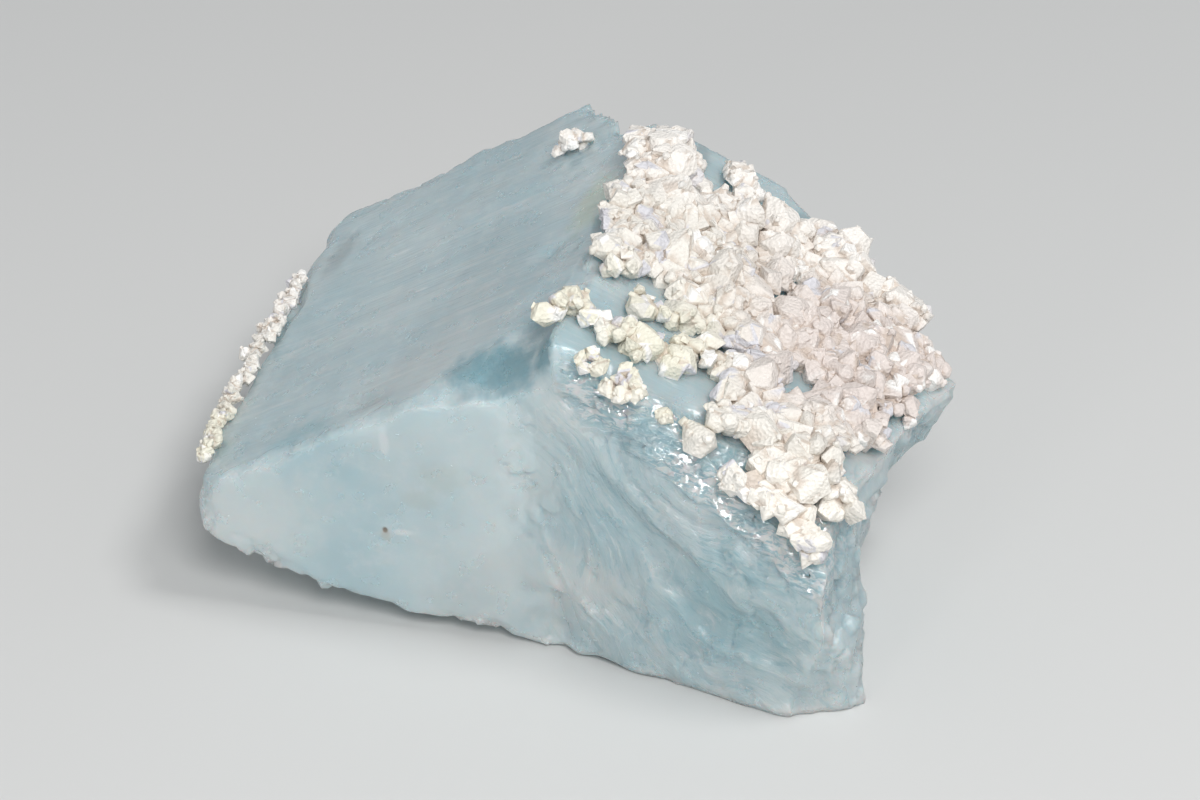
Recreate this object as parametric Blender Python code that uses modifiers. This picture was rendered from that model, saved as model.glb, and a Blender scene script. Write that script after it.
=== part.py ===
"""Topaz on albite: a cleaved fragment of pale topaz with a crust of albite crystals.

The stone is modelled in its crystal frame: X runs across it to the right, Y runs back along
its long axis from the front end of the crest, and Z points up from the crest. It is then
laid down on its broken underside, which is cut flat. Lengths below are in millimetres.
"""
import math
import random

import bmesh
import bpy
from mathutils import Matrix, Vector, noise

MM = 0.001
UP = Vector((0.0, 0.0, 1.0))

# How the stone lies: the crest's front end, and how its long axis points, climbs and rolls.
CREST_FRONT = (-1.6, -20.4, 28.1)
CREST_BEARING = math.radians(14.3)
CREST_RISE = math.radians(4.2)
CREST_ROLL = math.radians(3.0)

# Topaz prism faces meet at this angle along the crest.
PRISM_ANGLE = math.radians(124.3)
SLOPE = (math.pi - PRISM_ANGLE) / 2
LEFT_UP = (-math.sin(SLOPE), 0.0, math.cos(SLOPE))
RIGHT_UP = (math.sin(SLOPE), 0.0, math.cos(SLOPE))
CREST = (0.0, 0.0, 0.0)

# Flat faces of the block: a point on each face, and the way it faces.
FACES = {
    "left prism face": (CREST, LEFT_UP),
    "right prism face": (CREST, RIGHT_UP),
    "lower right face": (CREST, (0.435, -0.479, 0.763)),
    "back cleavage": ((-8.0, 44.9, 0.0), (-0.07, 1.0, 0.0)),
    "left wall": ((-31.9, 0.0, -18.0), (-1.0, 0.0, 0.10)),
    "left front corner": ((-30.1, 0.0, -17.0), (-0.98, -0.18, 0.0)),
    "left underside": ((-29.4, 0.0, -21.0), (-math.sin(SLOPE), 0.0, -math.cos(SLOPE))),
    "right side band": ((22.7, 1.5, -11.6), (0.966, -0.229, 0.120)),
    "toe front": ((24.0, -2.2, -29.0), (0.411, -0.885, -0.217)),
    "back right corner": ((20.4, 27.0, -11.0), (0.60, 0.80, -0.10)),
    "front lip": ((-12.0, 0.0, -26.5), (-0.17, -0.35, -1.0)),
    "uncut front": ((0.0, -9.0, 0.0), (0.0, -1.0, 0.0)),
}
TOP_FACES = ("left prism face", "right prism face", "lower right face")

# Pieces broken off the block: each is the space beyond all of its planes.
CHIPS = {
    "front cleavage": ((CREST, (0.0, -1.0, 0.0)), ((-3.5, 0.0, 0.0), (-1.0, 0.0, -0.12))),
    "front right": ((CREST, (-0.24, -1.0, 0.03)), ((-4.5, 0.0, 0.0), (1.0, 0.0, 0.12))),
    "back step": (((0.0, 34.9, 0.0), (0.0, 1.0, 0.0)), ((-2.5, 35.4, 0.0), (0.86, 0.5, 0.0))),
    "crest chip": (((-2.3, 0.0, -4.4), (-0.173, -0.433, 0.884)),
                   (CREST, (-0.881, -0.108, 0.460))),
    "right undercut": (((23.8, -1.7, -29.0), (0.967, 0.246, -0.069)),
                       ((18.8, 18.3, -30.5), (0.936, -0.009, -0.351)),
                       ((28.3, 21.6, -14.3), (0.766, -0.358, -0.532))),
}
BLOCK_SIZE = 140.0       # the cube that the faces are cut from
SPARE = 1.5              # stone left below the ground while the relief is carved
VOXEL = 0.8              # spacing of the surface points that carry the relief
TOPAZ_TRIANGLES = 5200

GAP = 0.3                # clearance between the topaz and what grew on it
CRUST_DEPTH = 1.0        # thickness of the sheet that the albite crystals share

# Outline of the main albite crust, seen along the crystal frame's Z.
CRUST_OUTLINE = (
    (-0.1, 29.4), (1.8, 32.0), (4.5, 30.4), (6.4, 26.8), (12.2, 27.3), (14.6, 29.4),
    (16.6, 28.2), (19.2, 26.0), (22.2, 23.8), (24.6, 21.6), (25.4, 18.6), (24.2, 13.6),
    (22.0, 6.1), (21.2, 1.0), (20.4, -2.4), (19.8, -4.4), (17.6, -3.6), (15.3, -2.4),
    (12.4, -1.2), (11.5, 0.4), (12.2, 3.2), (11.4, 7.6), (9.6, 11.4), (5.3, 13.4),
    (0.7, 13.2), (0.4, 18.8), (0.9, 22.0), (0.2, 26.9))
CRUST_PITCH = 2.55       # spacing of the crystals on it
CRUST_CRYSTAL = 1.55     # their usual half size

# Bare patches inside the crust, and its large crystals: across, back, radius.
BARE_PATCHES = ((13.8, 21.4, 1.6), (17.2, 10.4, 1.7), (5.2, 26.2, 1.0))
LARGE_CRYSTALS = (
    (16.5, 27.1, 2.1), (20.3, 17.6, 2.1), (23.6, 16.8, 1.6), (18.9, 13.4, 1.6),
    (21.1, 13.5, 1.3), (21.4, 22.2, 1.9), (15.1, 16.9, 1.8), (6.6, 17.2, 1.8),
    (12.1, 16.8, 1.8), (1.6, 28.8, 1.5), (3.4, 22.9, 1.8), (19.0, 5.3, 2.2),
    (18.5, 0.4, 1.9), (15.9, 2.4, 1.8), (20.0, -3.4, 1.2))
# Crystals in chains that leave the crust towards the crest, each touching the next.
CHAIN_CRYSTALS = (
    (-0.1, 3.8, 1.0), (0.8, 5.4, 1.3), (2.0, 5.0, 1.1), (3.4, 4.9, 1.0), (5.2, 4.8, 1.5),
    (6.9, 5.4, 1.1), (8.6, 6.3, 1.4), (10.1, 7.0, 1.3), (8.4, 4.9, 0.9), (5.2, 9.7, 1.2),
    (6.5, 9.9, 0.9), (7.8, 10.9, 1.1), (1.9, 12.4, 1.1), (6.9, 30.6, 1.4), (8.3, 29.6, 1.3),
    (8.0, 27.8, 1.3))
# Single crystals that stand alone: across, back, radius.
LONE_CRYSTALS = {
    "albite_grain_front": (3.2, -0.1, 1.0),
    "albite_grain_middle": (5.9, -0.2, 1.35),
    "albite_grain_small": (8.7, -0.5, 0.7),
    "albite_grain_on_left_face": (-7.2, 35.0, 1.3),
}
# The sugary crust along the left edge: where it starts and ends, and its crystals.
RIM_FRONT = 4.5
RIM_BACK = 31.5
RIM_CRYSTAL = 0.85
RIM_PITCH = 1.15
RIM_INSET = (1.1, 1.5)   # how far in from the edge they stand

TOPAZ_COLOUR = (0.50, 0.62, 0.66, 1.0)
ALBITE_COLOUR = (0.74, 0.70, 0.66, 1.0)


def clear_scene():
    for item in list(bpy.data.objects):
        bpy.data.objects.remove(item, do_unlink=True)


def principled(name, colour, roughness, transmission=0.0):
    material = bpy.data.materials.new(name)
    material.use_nodes = True
    shader = material.node_tree.nodes["Principled BSDF"]
    shader.inputs["Base Color"].default_value = colour
    shader.inputs["Roughness"].default_value = roughness
    shader.inputs["Transmission Weight"].default_value = transmission
    return material


def new_object(name, mesh, collection):
    data = bpy.data.meshes.new(name)
    mesh.to_mesh(data)
    mesh.free()
    item = bpy.data.objects.new(name, data)
    collection.objects.link(item)
    return item


def cut(mesh, point, facing, keep_outside=False):
    """Cut a closed mesh with a plane and close the cut."""
    geometry = mesh.verts[:] + mesh.edges[:] + mesh.faces[:]
    result = bmesh.ops.bisect_plane(mesh, geom=geometry, plane_co=Vector(point),
                                    plane_no=Vector(facing).normalized(), dist=1e-7,
                                    clear_outer=not keep_outside, clear_inner=keep_outside)
    rim = [item for item in result["geom_cut"] if isinstance(item, bmesh.types.BMEdge)]
    bmesh.ops.holes_fill(mesh, edges=rim, sides=0)


def cut_cube(size, planes, keep_outside=False, grow=0.0):
    """A cube cut by every plane; grow moves the planes outwards."""
    mesh = bmesh.new()
    bmesh.ops.create_cube(mesh, size=size * MM)
    for point, facing in planes:
        way = Vector(facing).normalized()
        cut(mesh, (Vector(point) + way * grow) * MM, way, keep_outside)
    bmesh.ops.recalc_face_normals(mesh, faces=mesh.faces[:])
    return mesh


def boolean(item, cutter, operation):
    modifier = item.modifiers.new(operation.lower(), "BOOLEAN")
    modifier.operation = operation
    modifier.object = cutter
    modifier.solver = "EXACT"


def apply_modifiers(item):
    """Replace an object's mesh with its evaluated mesh."""
    graph = bpy.context.evaluated_depsgraph_get()
    data = bpy.data.meshes.new_from_object(item.evaluated_get(graph))
    item.modifiers.clear()
    item.data = data


def remove(item):
    bpy.data.objects.remove(item, do_unlink=True)


def linked_shells(mesh):
    """The separate shells of a mesh, as lists of vertices."""
    shells = []
    waiting = set(mesh.verts)
    while waiting:
        shell = [waiting.pop()]
        for vert in shell:
            for edge in vert.link_edges:
                other = edge.other_vert(vert)
                if other in waiting:
                    waiting.remove(other)
                    shell.append(other)
        shells.append(shell)
    return shells


def keep_outer_shell(mesh):
    """Fill the pockets that the crystals closed off between them."""
    shells = sorted(linked_shells(mesh), key=len)
    for shell in shells[:-1]:
        bmesh.ops.delete(mesh, geom=shell, context="VERTS")


def tidy(item):
    """Leave one outer shell of triangles."""
    mesh = bmesh.new()
    mesh.from_mesh(item.data)
    keep_outer_shell(mesh)
    bmesh.ops.triangulate(mesh, faces=mesh.faces[:])
    mesh.to_mesh(item.data)
    mesh.free()


def face_height(across, back):
    """Height of the block's top at a place, in the crystal frame."""
    heights = []
    for name in TOP_FACES:
        facing = FACES[name][1]
        heights.append(-(facing[0] * across + facing[1] * back) / facing[2])
    return min(heights)


def face_up(across, back):
    """The way the block's top faces at a place."""
    step = 0.05
    rise_x = face_height(across + step, back) - face_height(across - step, back)
    rise_y = face_height(across, back + step) - face_height(across, back - step)
    return Vector((-rise_x / (2 * step), -rise_y / (2 * step), 1.0)).normalized()


def smooth_step(value, low, high):
    part = min(max((value - low) / (high - low), 0.0), 1.0)
    return part * part * (3.0 - 2.0 * part)


def terrace(value):
    """A ramp turned into low steps."""
    whole = math.floor(value)
    return whole + smooth_step(value - whole, 0.55, 0.95)


def edge_distance(point):
    """How far a point on the block is from the block's nearest edge."""
    planes = list(FACES.values()) + [plane for chip in CHIPS.values() for plane in chip]
    gaps = []
    for origin, facing in planes:
        gaps.append(abs((point - Vector(origin)).dot(Vector(facing).normalized())))
    return sorted(gaps)[1]


def left_face_carving(point):
    """Low growth steps along the crest's direction, and a hollow behind the crest."""
    drift = noise.noise(Vector((point.x * 0.16, point.y * 0.05, 3.0)))
    steps = terrace(point.x * 0.22 + drift * 2.2) - point.x * 0.22 - drift * 2.2
    streaks = noise.noise(Vector((point.x * 1.1 + point.y * 0.12, point.y * 0.10, 8.0)))
    return 0.05 + 0.28 * (steps + 0.6) + 0.10 * (streaks + 0.5)


def front_carving(point):
    """Ribs that fan out over the curved right half from the crest's end."""
    fan = Vector((point.x + 9.0, 0.0, point.z - 3.0))
    angle = math.atan2(-fan.z, fan.x)
    warp = noise.noise(point * 0.12) * 0.35
    ribs = abs(math.sin(angle * 13.0 + warp * 6.0 + fan.length * 0.05))
    right = smooth_step(point.x, -3.0, 4.0) * smooth_step(fan.length, 7.0, 16.0)
    calm = 0.08 * (noise.noise(point * 0.3) + 1.0)
    return calm + right * (0.55 * (1.0 - ribs) + 0.1)


def right_face_carving(point):
    """Splintered ground in front of the albite, calm ground under it."""
    front = smooth_step(-point.y - 0.25 * point.x, -5.0, 1.0)
    splinters = abs(noise.noise(Vector((point.x * 0.35, point.y * 0.9, point.z * 0.35))))
    return 0.06 + front * 0.9 * splinters


def broken_carving(point):
    """Rough shelves of a fracture."""
    shelf = terrace(noise.fractal(point * 0.085, 0.9, 2.1, 3) * 3.0 + point.z * 0.10)
    bumps = noise.fractal(point * 0.24, 0.8, 2.0, 3)
    return 0.50 + 0.28 * math.sin(shelf * 2.1) + 0.32 * bumps


def chipping(point):
    """Small bites out of the block's edges."""
    near = math.exp(-(edge_distance(point) / 1.1) ** 2)
    bites = max(noise.fractal(point * 0.33 + Vector((5.0, 1.0, 2.0)), 0.7, 2.0, 3) + 0.12, 0.0)
    return near * (0.05 + 0.9 * bites)


def carving(point, normal):
    """Depth of the relief at a point of the stone, in millimetres."""
    left = smooth_step(normal.dot(Vector(LEFT_UP)), 0.93, 0.985)
    right = smooth_step(normal.dot(Vector(RIGHT_UP)), 0.80, 0.93)
    front = smooth_step(-normal.y, 0.80, 0.93)
    back = smooth_step(normal.y, 0.93, 0.99)
    broken = max(1.0 - left - right - front - 0.75 * back, 0.0)
    depth = left * left_face_carving(point) + right * right_face_carving(point)
    depth += front * front_carving(point) + broken * broken_carving(point)
    return depth + chipping(point)


def carve(item):
    """Push every point of the stone inwards by the relief's depth."""
    mesh = bmesh.new()
    mesh.from_mesh(item.data)
    mesh.normal_update()
    moves = []
    for vert in mesh.verts:
        depth = max(carving(vert.co / MM, vert.normal), 0.0)
        moves.append(vert.normal * (-depth * MM))
    for vert, move in zip(mesh.verts, moves):
        vert.co += move
    mesh.to_mesh(item.data)
    mesh.free()


def make_topaz(collection, lay):
    item = new_object("topaz_crystal", cut_cube(BLOCK_SIZE, FACES.values()), collection)
    cutters = []
    for name, planes in CHIPS.items():
        wedge = cut_cube(BLOCK_SIZE * 1.2, planes, keep_outside=True)
        cutters.append(new_object(name, wedge, collection))
    for cutter in cutters:
        boolean(item, cutter, "DIFFERENCE")
    apply_modifiers(item)
    for cutter in cutters:
        remove(cutter)

    rest = lay.inverted()
    mesh = bmesh.new()
    mesh.from_mesh(item.data)
    below = rest @ Vector((0.0, 0.0, -SPARE * MM))
    cut(mesh, below, rest.to_3x3() @ -UP)
    mesh.to_mesh(item.data)
    mesh.free()

    remesh = item.modifiers.new("points", "REMESH")
    remesh.mode = "VOXEL"
    remesh.voxel_size = VOXEL * MM
    apply_modifiers(item)
    carve(item)
    thin = item.modifiers.new("thin", "DECIMATE")
    thin.ratio = TOPAZ_TRIANGLES / (2.0 * len(item.data.polygons))
    apply_modifiers(item)

    item.data.transform(lay)
    ground = new_object("ground", cut_cube(BLOCK_SIZE, [((0.0, 0.0, 0.0), UP)]), collection)
    boolean(item, ground, "DIFFERENCE")
    apply_modifiers(item)
    remove(ground)
    tidy(item)
    item.data.materials.append(principled("topaz", TOPAZ_COLOUR, 0.25, 1.0))
    return item


def crystal_mesh(across, back, half_size, seed, sink=0.30):
    """One blocky feldspar crystal: a flattened cube with its corners cut off."""
    draw = random.Random(seed)
    crystal = bmesh.new()
    bmesh.ops.create_cube(crystal, size=2.0)
    for _ in range(5):
        way = Vector([draw.choice((-1.0, 1.0)) * draw.uniform(0.5, 1.0) for _ in range(3)])
        way.normalize()
        cut(crystal, way * draw.uniform(1.02, 1.22), way)
    shape = Vector((draw.uniform(0.85, 1.1), draw.uniform(0.75, 1.0), draw.uniform(0.62, 0.85)))
    turn = Matrix.Rotation(draw.uniform(0.0, math.pi), 4, "Z")
    tip = Matrix.Rotation(draw.uniform(-0.5, 0.5), 4, "X")
    roll = Matrix.Rotation(draw.uniform(-0.5, 0.5), 4, "Y")
    up = face_up(across, back)
    stand = up.to_track_quat("Z", "Y").to_matrix().to_4x4()
    seat = Vector((across, back, face_height(across, back))) + up * (half_size * sink)
    place = Matrix.Translation(seat * MM) @ stand @ turn @ tip @ roll
    place = place @ Matrix.Diagonal((shape * half_size * MM).to_4d())
    crystal.transform(place)
    bmesh.ops.recalc_face_normals(crystal, faces=crystal.faces[:])
    return crystal


def inside(outline, x, y):
    """Whether a place lies inside an outline."""
    within = False
    for (x0, y0), (x1, y1) in zip(outline, outline[1:] + outline[:1]):
        if (y0 > y) != (y1 > y) and x < x0 + (y - y0) * (x1 - x0) / (y1 - y0):
            within = not within
    return within


def near_any(spots, x, y, share):
    return any(math.hypot(x - sx, y - sy) < radius * share for sx, sy, radius in spots)


def crust_places():
    """Places of the crust's ordinary crystals, on a shaken hexagonal grid."""
    draw = random.Random(11)
    places = []
    for row in range(-4, 16):
        for column in range(-2, 13):
            x = (column + 0.5 * (row % 2)) * CRUST_PITCH + draw.uniform(-0.5, 0.5)
            y = row * CRUST_PITCH * 0.87 + draw.uniform(-0.5, 0.5)
            size = CRUST_CRYSTAL * draw.uniform(0.75, 1.15)
            if not inside(CRUST_OUTLINE, x, y):
                continue
            if near_any(BARE_PATCHES, x, y, 1.15) or near_any(LARGE_CRYSTALS, x, y, 0.75):
                continue
            places.append((x, y, size))
    return places


def crust_sheet(collection):
    """The thin sheet of albite between the crystals' feet."""
    mesh = bmesh.new()
    verts = [mesh.verts.new(Vector((x, y, -40.0)) * MM) for x, y in CRUST_OUTLINE]
    base = mesh.faces.new(verts)
    top = bmesh.ops.extrude_face_region(mesh, geom=[base])["geom"]
    lifted = [item for item in top if isinstance(item, bmesh.types.BMVert)]
    bmesh.ops.translate(mesh, verts=lifted, vec=Vector((0.0, 0.0, 60.0)) * MM)
    bmesh.ops.recalc_face_normals(mesh, faces=mesh.faces[:])
    sheet = new_object("albite_crust", mesh, collection)
    skin = new_object("skin", cut_cube(BLOCK_SIZE, FACES.values(), grow=GAP + CRUST_DEPTH),
                      collection)
    boolean(sheet, skin, "INTERSECT")
    apply_modifiers(sheet)
    remove(skin)
    holes = bmesh.new()
    for x, y, radius in BARE_PATCHES:
        matrix = Matrix.Translation(Vector((x, y, -10.0)) * MM)
        bmesh.ops.create_cone(holes, cap_ends=True, segments=9, radius1=radius * 0.8 * MM,
                              radius2=radius * 0.8 * MM, depth=60.0 * MM, matrix=matrix)
    patches = new_object("patches", holes, collection)
    boolean(sheet, patches, "DIFFERENCE")
    apply_modifiers(sheet)
    remove(patches)
    return sheet


def join_crystals(item, crystals):
    """Grow crystals onto an object as one body."""
    cluster = bpy.data.collections.new("cluster")
    bpy.context.scene.collection.children.link(cluster)
    for crystal in crystals:
        new_object("crystal", crystal, cluster)
    union = item.modifiers.new("union", "BOOLEAN")
    union.operation = "UNION"
    union.solver = "EXACT"
    union.operand_type = "COLLECTION"
    union.collection = cluster
    apply_modifiers(item)
    for crystal in list(cluster.objects):
        remove(crystal)
    bpy.data.collections.remove(cluster)


def clear_of_topaz(item, collection):
    """Cut an object back from the topaz, leaving the clearance."""
    block = new_object("block", cut_cube(BLOCK_SIZE, FACES.values(), grow=GAP), collection)
    boolean(item, block, "DIFFERENCE")
    apply_modifiers(item)
    remove(block)


def finish_albite(item, lay):
    tidy(item)
    item.data.transform(lay)
    item.data.materials.clear()
    item.data.materials.append(principled(item.name, ALBITE_COLOUR, 0.6))


def make_crust(collection, lay):
    item = crust_sheet(collection)
    spots = crust_places() + list(LARGE_CRYSTALS) + list(CHAIN_CRYSTALS)
    crystals = [crystal_mesh(x, y, size, seed) for seed, (x, y, size) in enumerate(spots)]
    join_crystals(item, crystals)
    clear_of_topaz(item, collection)
    finish_albite(item, lay)
    return item


def make_lone_crystal(name, spot, collection, lay):
    crystal = crystal_mesh(spot[0], spot[1], spot[2], seed=len(name), sink=0.35)
    item = new_object(name, crystal, collection)
    clear_of_topaz(item, collection)
    finish_albite(item, lay)
    return item


def left_edge(back):
    """How far across the top's left edge is."""
    edges = []
    for name in ("left wall", "left front corner"):
        point, facing = FACES[name]
        edges.append(point[0] + (point[1] - back) * facing[1] / facing[0])
    return max(edges)


def make_rim(collection, lay):
    """The sugary crust along the left edge."""
    draw = random.Random(5)
    count = int((RIM_BACK - RIM_FRONT) / RIM_PITCH)
    crystals = []
    for index in range(count + 1):
        y = RIM_FRONT + index * RIM_PITCH
        x = left_edge(y) + draw.uniform(*RIM_INSET)
        size = RIM_CRYSTAL * draw.uniform(0.9, 1.15)
        crystals.append(crystal_mesh(x, y, size, seed=300 + index, sink=0.0))
    item = new_object("albite_rim", crystals.pop(0), collection)
    join_crystals(item, crystals)
    clear_of_topaz(item, collection)
    finish_albite(item, lay)
    return item


def stand_at_origin(items):
    """Move everything so that the origin is at the middle of the base."""
    corners = [vert.co for item in items for vert in item.data.vertices]
    low = Vector([min(corner[axis] for corner in corners) for axis in range(3)])
    high = Vector([max(corner[axis] for corner in corners) for axis in range(3)])
    shift = Matrix.Translation((-(low.x + high.x) / 2, -(low.y + high.y) / 2, -low.z))
    for item in items:
        item.data.transform(shift)


def main():
    clear_scene()
    stone = bpy.data.collections.new("topaz_on_albite")
    bpy.context.scene.collection.children.link(stone)
    attitude = Matrix.Rotation(-CREST_BEARING, 4, "Z") @ Matrix.Rotation(CREST_RISE, 4, "X")
    attitude = attitude @ Matrix.Rotation(-CREST_ROLL, 4, "Y")
    lay = Matrix.Translation(Vector(CREST_FRONT) * MM) @ attitude
    items = [make_topaz(stone, lay), make_crust(stone, lay), make_rim(stone, lay)]
    for name, spot in LONE_CRYSTALS.items():
        items.append(make_lone_crystal(name, spot, stone, lay))
    stand_at_origin(items)


main()
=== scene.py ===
# %% [markdown]
# # Topaz on albite
# This lesson dresses a mineral specimen: a broken block of pale blue topaz with a crust of
# albite, a creamy feldspar, grown over one of its top faces. The solids come ready made from
# the frame. Here each one gets a finer skin and a finish that behaves like the real mineral.

# %% Load the frame
import itertools
import math
import random

import bpy
import numpy as np
from mathutils import Matrix, Vector
from mathutils.bvhtree import BVHTree
from mathutils.kdtree import KDTree


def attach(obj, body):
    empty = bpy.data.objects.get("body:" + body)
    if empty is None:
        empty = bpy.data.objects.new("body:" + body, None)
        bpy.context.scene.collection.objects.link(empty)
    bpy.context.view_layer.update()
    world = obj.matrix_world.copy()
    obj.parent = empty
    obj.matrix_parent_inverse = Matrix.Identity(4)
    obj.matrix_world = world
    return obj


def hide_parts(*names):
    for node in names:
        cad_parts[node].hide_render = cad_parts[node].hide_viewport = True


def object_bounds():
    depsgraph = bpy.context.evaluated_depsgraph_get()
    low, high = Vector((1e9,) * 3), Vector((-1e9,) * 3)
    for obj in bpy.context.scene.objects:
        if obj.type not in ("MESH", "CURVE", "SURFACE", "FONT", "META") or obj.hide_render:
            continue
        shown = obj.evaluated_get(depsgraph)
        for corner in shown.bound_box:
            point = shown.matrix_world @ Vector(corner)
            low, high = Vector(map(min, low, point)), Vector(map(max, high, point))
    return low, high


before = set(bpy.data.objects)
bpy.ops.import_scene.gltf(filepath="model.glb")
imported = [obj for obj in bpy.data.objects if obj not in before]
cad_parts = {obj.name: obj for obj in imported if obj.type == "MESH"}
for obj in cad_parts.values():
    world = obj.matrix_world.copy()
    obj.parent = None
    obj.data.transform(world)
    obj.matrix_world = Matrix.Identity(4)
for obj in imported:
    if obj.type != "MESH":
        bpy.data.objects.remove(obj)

solids_box = [[float(v) for v in corner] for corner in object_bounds()]
print("solids' box, in metres:", solids_box)

# %% [markdown]
# ## The crystal's own frame
# Topaz grows along one axis, and everything on it lines up with that axis: its flat prism
# faces run along it, and it splits cleanly across it. The stone lies tilted, so a frame that
# is tilted with it makes every later step simple. In that frame X runs across the stone to
# the right, Y runs back along the crest, and Z points up from the crest's front end. Lengths
# are in millimetres there, because the features are a fraction of a millimetre.

# %% Tilted frame
MM = 0.001
CREST_FRONT = Vector((-2.18, -20.45, 28.10)) * MM
TURN = Matrix.Rotation(math.radians(-14.3), 4, "Z")
TURN = TURN @ Matrix.Rotation(math.radians(4.2), 4, "X")
TURN = TURN @ Matrix.Rotation(math.radians(-3.0), 4, "Y")
TURN_ROWS = np.array(TURN.to_3x3())

PRISM_ANGLE = math.radians(124.3)      # between the two faces, as topaz grows
SLOPE = (math.pi - PRISM_ANGLE) / 2
LEFT_UP = np.array((-math.sin(SLOPE), 0.0, math.cos(SLOPE)))
RIGHT_UP = np.array((math.sin(SLOPE), 0.0, math.cos(SLOPE)))


def to_crystal(places):
    """World places in metres to crystal places in millimetres."""
    return (places - np.array(CREST_FRONT)) @ TURN_ROWS / MM


def to_world(places):
    return places * MM @ TURN_ROWS.T + np.array(CREST_FRONT)


print("the prism faces slope at", round(math.degrees(SLOPE), 1), "degrees")

# %% [markdown]
# ## Working like a hand at the mouse
# Blender's operators act on what is selected, so each helper first clears the selection and
# then picks its own object. A modifier is added, set and applied at once, so that what is
# left is plain mesh.

# %% Helpers for objects and modifiers
scene = bpy.context.scene


def pick(item):
    """Make an object the only one selected, and the active one."""
    bpy.ops.object.select_all(action="DESELECT")
    item.select_set(True)
    bpy.context.view_layer.objects.active = item


def with_modifier(item, kind, **settings):
    """Add a modifier, set it and apply it."""
    modifier = item.modifiers.new(kind.lower(), kind)
    for key, value in settings.items():
        setattr(modifier, key, value)
    pick(item)
    bpy.ops.object.modifier_apply(modifier=modifier.name)


def copy_of_solid(node, name):
    """A free copy of a solid, with its loose triangles sewn together."""
    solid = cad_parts[node]
    item = bpy.data.objects.new(name, solid.data.copy())
    item.data.transform(solid.matrix_world)
    scene.collection.objects.link(item)
    pick(item)
    bpy.ops.object.mode_set(mode="EDIT")
    bpy.ops.mesh.select_all(action="SELECT")
    bpy.ops.mesh.remove_doubles(threshold=1e-6)
    bpy.ops.object.mode_set(mode="OBJECT")
    return item


def smooth_step(value, low, high):
    part = np.clip((value - low) / (high - low), 0.0, 1.0)
    return part * part * (3.0 - 2.0 * part)


def unit(vector):
    return vector / np.linalg.norm(vector)


print("helpers ready for", len(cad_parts), "solids")

# %% [markdown]
# ## Random relief that stays put
# Broken and grown surfaces are irregular at every size. Soft random values, made from whole
# numbers by a fixed recipe, give the same relief in every run. Adding them up at finer and
# finer sizes gives rough ground, and folding them about zero gives sharp ridges.

# %% Noise for relief
def soft_noise(places, seed):
    """Soft random values between -1 and 1, about one hill for each unit."""
    cell = np.floor(places).astype(np.int64)
    part = places - cell
    fade = part * part * (3.0 - 2.0 * part)
    total = np.zeros(len(places))
    for corner in itertools.product((0, 1), repeat=3):
        key = cell + np.array(corner)
        code = key[:, 0] * 374761393 + key[:, 1] * 668265263 + key[:, 2] * 2147483647
        code = (code + seed * 1274126177) & 0xFFFFFFFF
        code = ((code ^ (code >> 13)) * 1274126177) & 0xFFFFFFFF
        code = (code ^ (code >> 16)) & 0xFFFF
        share = np.prod(np.where(np.array(corner) == 1, fade, 1.0 - fade), axis=1)
        total += share * (code / 32767.5 - 1.0)
    return total


def rough_noise(places, seed, octaves=4, gain=0.5):
    total = np.zeros(len(places))
    for octave in range(octaves):
        total += gain ** octave * soft_noise(places * 2.0 ** octave, seed + octave)
    return total


def ridged_noise(places, seed, octaves=3):
    """Sharp crests at 0 and hollows down to about -1."""
    total = np.zeros(len(places))
    for octave in range(octaves):
        total -= 0.55 ** octave * np.abs(soft_noise(places * 2.1 ** octave, seed + octave))
    return total


def steps(value, edge=0.12):
    """A ramp turned into flat treads with short risers."""
    whole = np.floor(value)
    return whole + smooth_step(value - whole, 1.0 - edge, 1.0)


print("noise at the crest's end:", soft_noise(np.zeros((1, 3)) + 0.3, 1).round(3))

# %% Reading and moving vertices
def read_mesh(item):
    """Vertices and normals as arrays, in the crystal frame, with the edges."""
    mesh = item.data
    places = np.empty(len(mesh.vertices) * 3)
    mesh.vertices.foreach_get("co", places)
    normals = np.empty(len(mesh.vertices) * 3)
    mesh.vertices.foreach_get("normal", normals)
    edges = np.empty(len(mesh.edges) * 2, dtype=np.int64)
    mesh.edges.foreach_get("vertices", edges)
    places = to_crystal(places.reshape(-1, 3))
    return places, normals.reshape(-1, 3) @ TURN_ROWS, edges.reshape(-1, 2)


def write_mesh(item, places):
    item.data.vertices.foreach_set("co", to_world(places).ravel())
    item.data.update()


def spread(values, edges, rounds):
    """Blur values over the mesh, as a wide soft brush would."""
    ends = np.concatenate((edges[:, 0], edges[:, 1]))
    others = np.concatenate((edges[:, 1], edges[:, 0]))
    count = np.bincount(ends, minlength=len(values)) + 1.0
    for _ in range(rounds):
        columns = [np.bincount(ends, weights=values[others, axis], minlength=len(values))
                   for axis in range(values.shape[1])]
        values = (values + np.stack(columns, axis=1)) / count[:, None]
    return values


def keep_values(item, name, values):
    """Store a number or a vector for each vertex, for the finish to read."""
    kind, key = ("FLOAT", "value") if values.ndim == 1 else ("FLOAT_VECTOR", "vector")
    layer = item.data.attributes.new(name, kind, "POINT")
    layer.data.foreach_set(key, np.ascontiguousarray(values.ravel(), dtype=np.float32))


def keep_inside(item, room):
    """Ease a piece back inside the solids' box, so that it stays true to size."""
    mesh = item.data
    places = np.empty(len(mesh.vertices) * 3)
    mesh.vertices.foreach_get("co", places)
    places = places.reshape(-1, 3)
    low, high = np.array(solids_box)
    over = np.maximum(places - (high - room), 0.0)
    places = places - over + room * (1.0 - np.exp(-over / room))
    under = np.maximum((low + room) - places, 0.0)
    under[:, 2] = 0.0
    places = places + under - room * (1.0 - np.exp(-under / room))
    places[:, 2] = np.maximum(places[:, 2], 0.0)
    mesh.vertices.foreach_set("co", places.ravel())
    mesh.update()


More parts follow.
